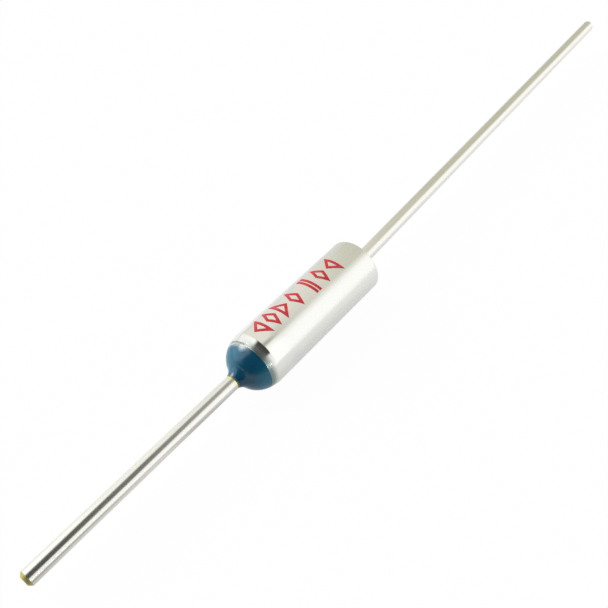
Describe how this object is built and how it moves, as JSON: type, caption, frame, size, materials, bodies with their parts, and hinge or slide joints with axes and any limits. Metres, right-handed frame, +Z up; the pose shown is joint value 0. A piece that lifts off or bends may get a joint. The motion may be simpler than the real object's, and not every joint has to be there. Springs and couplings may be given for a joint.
{
  "type": "thermal fuse",
  "caption": "Axial thermal fuse with a plated round case, a curled mouth closed by blue resin and a straight tinned lead at each end; it breaks a circuit for good when overheated.",
  "frame": {"origin": "on the axis, at the middle of the straight barrel of the case", "axes": "+X along the axis towards the closed end and the case lead, +Z up"},
  "size_m": [0.0689, 0.004, 0.004],
  "materials": {
    "plated_case": "satin bright plating over brass",
    "tinned_wire": "bright hot-dipped tin over copper",
    "blue_resin": "cast epoxy, glossy from pouring",
    "pellet_compound": "pressed organic compound",
    "brass_disc": "stamped",
    "spring_steel": "drawn wire",
    "silvered_contact": "silver plated sheet",
    "white_ceramic": "pressed and fired"
  },
  "bodies": {
    "root": {"case": "plated_case", "case_lead": "tinned_wire", "thermal_pellet": "pellet_compound", "pellet_disc": "brass_disc", "bias_spring": "spring_steel", "contact_disc": "brass_disc", "star_contact": "silvered_contact", "trip_spring": "spring_steel", "ceramic_bushing": "white_ceramic", "isolated_lead": "tinned_wire", "epoxy_seal": "blue_resin"}
  },
  "joints": []
}
